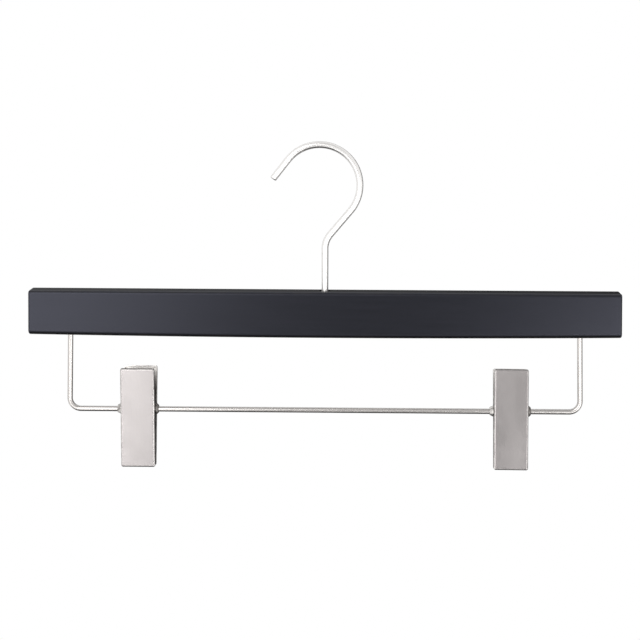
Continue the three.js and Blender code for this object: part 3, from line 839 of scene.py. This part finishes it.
# Soft studio, in metres: a soft box to each side of the camera, by its place, size and brightness, a pale
# floor, and white paper all round but for some dim patches, each by its direction, the cosines between which
# it fades out, and how bright it is inside
SOFT_BOXES = {
    "left_soft_box": ((-0.44, -1.05, 0.1), (0.46, 1.6), 2.5),
    "right_soft_box": ((0.51, -1.02, -0.435), (0.46, 0.40), 3.85),
}
SOFT_BOX_AIM = (0, 0, -0.1)
DIM_PATCHES = {
    "camera stand": ((0.035, -0.978, -0.208), 0.9925, 0.9397, 0.1),
    "shaded floor": ((0, 0, -1), 0.95, 0.55, 0.03),
    "room behind": ((0.15, 0.984, -0.1), 0.91, 0.6, 0.14),
    "room on the right": ((0.65, 0.75, -0.1), 0.85, 0.65, 0.25),
    "ceiling in front": ((0, -0.6, 0.8), 0.95, 0.75, 0.65),
}
WHITE = (1, 1, 1, 1)
AMBIENT = 0.3
FLOOR_LEVEL = -1.7
FLOOR_RADIUS = 3
FLOOR_FADE_FROM, FLOOR_FADE_TO = 0.2, 2.5
FLOOR_MIDDLE_GLOW = 0.6


def aim_camera():
    camera = bpy.data.objects.new("camera", bpy.data.cameras.new("camera"))
    scene.collection.objects.link(camera)
    camera.data.lens = LENS_PIXELS / IMAGE_PIXELS * camera.data.sensor_width
    camera.data.shift_x = -PIXELS_RIGHT / IMAGE_PIXELS
    camera.data.shift_y = -PIXELS_UP / IMAGE_PIXELS
    camera.data.clip_start, camera.data.clip_end = CAMERA_NEAR, CAMERA_FAR
    looking = turn(CAMERA_PAN, "Z") @ turn(-CAMERA_DIP, "X") @ turn(CAMERA_ROLL, "Y") @ turn(90, "X")
    camera.matrix_world = Matrix.Translation(Vector(CAMERA_PLACE) * MM) @ looking
    scene.camera = camera


def add_soft_box(name, place, size, radiance):
    """A rectangular soft box that faces the hanger; its power follows from how bright it looks."""
    box = bpy.data.lights.new(name, "AREA")
    box.shape = "RECTANGLE"
    box.size, box.size_y = size
    box.energy = radiance * math.pi * size[0] * size[1]
    lamp = bpy.data.objects.new(name, box)
    scene.collection.objects.link(lamp)
    lamp.location = place
    lamp.rotation_euler = (Vector(SOFT_BOX_AIM) - Vector(place)).to_track_quat("-Z", "Y").to_euler()


def make_surroundings():
    """White behind the hanger for the camera; metal and lacquer mirror white paper with its dim patches."""
    world = bpy.data.worlds.new("studio")
    scene.world = world
    world.use_nodes = True
    tree = world.node_tree
    tree.nodes.clear()
    direction = add(tree, "ShaderNodeTexCoord").outputs["Generated"]
    brightness = 1.0
    for towards, inside, outside, level in DIM_PATCHES.values():
        near = add(tree, "ShaderNodeVectorMath", {0: direction, 1: towards}, operation="DOT_PRODUCT")
        patch = add(tree, "ShaderNodeMapRange", {
            "Value": near.outputs["Value"], "From Min": inside, "From Max": outside,
            "To Min": level, "To Max": 1.0,
        }, interpolation_type="SMOOTHSTEP")
        both = add(tree, "ShaderNodeMath", {0: patch.outputs["Result"], 1: brightness}, operation="MULTIPLY")
        brightness = both.outputs["Value"]
    mirrored = add(tree, "ShaderNodeBackground", {"Color": WHITE, "Strength": brightness})
    ambient = add(tree, "ShaderNodeBackground", {"Color": WHITE, "Strength": AMBIENT})
    backdrop = add(tree, "ShaderNodeBackground", {"Color": WHITE, "Strength": 1.0})
    ray = add(tree, "ShaderNodeLightPath")
    lit = add(tree, "ShaderNodeMixShader", {
        "Fac": ray.outputs["Is Glossy Ray"],
        1: ambient.outputs["Background"], 2: mirrored.outputs["Background"],
    })
    seen = add(tree, "ShaderNodeMath", {
        0: ray.outputs["Is Camera Ray"], 1: ray.outputs["Is Transmission Ray"],
    }, operation="MAXIMUM")
    shown = add(tree, "ShaderNodeMixShader", {
        "Fac": seen.outputs["Value"], 1: lit.outputs["Shader"], 2: backdrop.outputs["Background"],
    })
    add(tree, "ShaderNodeOutputWorld", {"Surface": shown.outputs["Shader"]})


def make_floor():
    """A wide pale paper floor, as far down as under a closet rail. It takes the hanger's shadow in the middle
    and is as white as the backdrop at its rim; metal mirrors the surroundings instead of it."""
    bm = bmesh.new()
    level = Matrix.Translation((0, 0, FLOOR_LEVEL))
    bmesh.ops.create_circle(bm, cap_ends=True, segments=96, radius=FLOOR_RADIUS, matrix=level)
    mesh = bpy.data.meshes.new("floor")
    bm.to_mesh(mesh)
    bm.free()
    floor = bpy.data.objects.new("floor", mesh)
    scene.collection.objects.link(floor)
    finish, tree, place = new_finish("pale_matt_paper")
    ray = add(tree, "ShaderNodeLightPath")
    along_floor = add(tree, "ShaderNodeVectorMath", {0: place, 1: (1, 1, 0)}, operation="MULTIPLY")
    outwards = add(tree, "ShaderNodeVectorMath", {0: along_floor.outputs["Vector"]}, operation="LENGTH")
    fade = add(tree, "ShaderNodeMapRange", {
        "Value": outwards.outputs["Value"], "From Min": FLOOR_FADE_FROM, "From Max": FLOOR_FADE_TO,
        "To Min": FLOOR_MIDDLE_GLOW, "To Max": 1.0,
    }, interpolation_type="SMOOTHSTEP")
    paper = add(tree, "ShaderNodeBsdfDiffuse", {"Color": linear("#f4f3f1")})
    glow = add(tree, "ShaderNodeEmission", {"Color": WHITE, "Strength": ray.outputs["Is Camera Ray"]})
    bright = add(tree, "ShaderNodeMixShader", {
        "Fac": fade.outputs["Result"], 1: paper.outputs["BSDF"], 2: glow.outputs["Emission"],
    })
    clear = add(tree, "ShaderNodeBsdfTransparent")
    shown = add(tree, "ShaderNodeMixShader", {
        "Fac": ray.outputs["Is Glossy Ray"], 1: bright.outputs["Shader"], 2: clear.outputs["BSDF"],
    })
    add(tree, "ShaderNodeOutputMaterial", {"Surface": shown.outputs["Shader"]})
    mesh.materials.append(finish)


aim_camera()
make_surroundings()
make_floor()
for name, (place, size, radiance) in SOFT_BOXES.items():
    add_soft_box(name, place, size, radiance)
scene.view_settings.view_transform = "Standard"
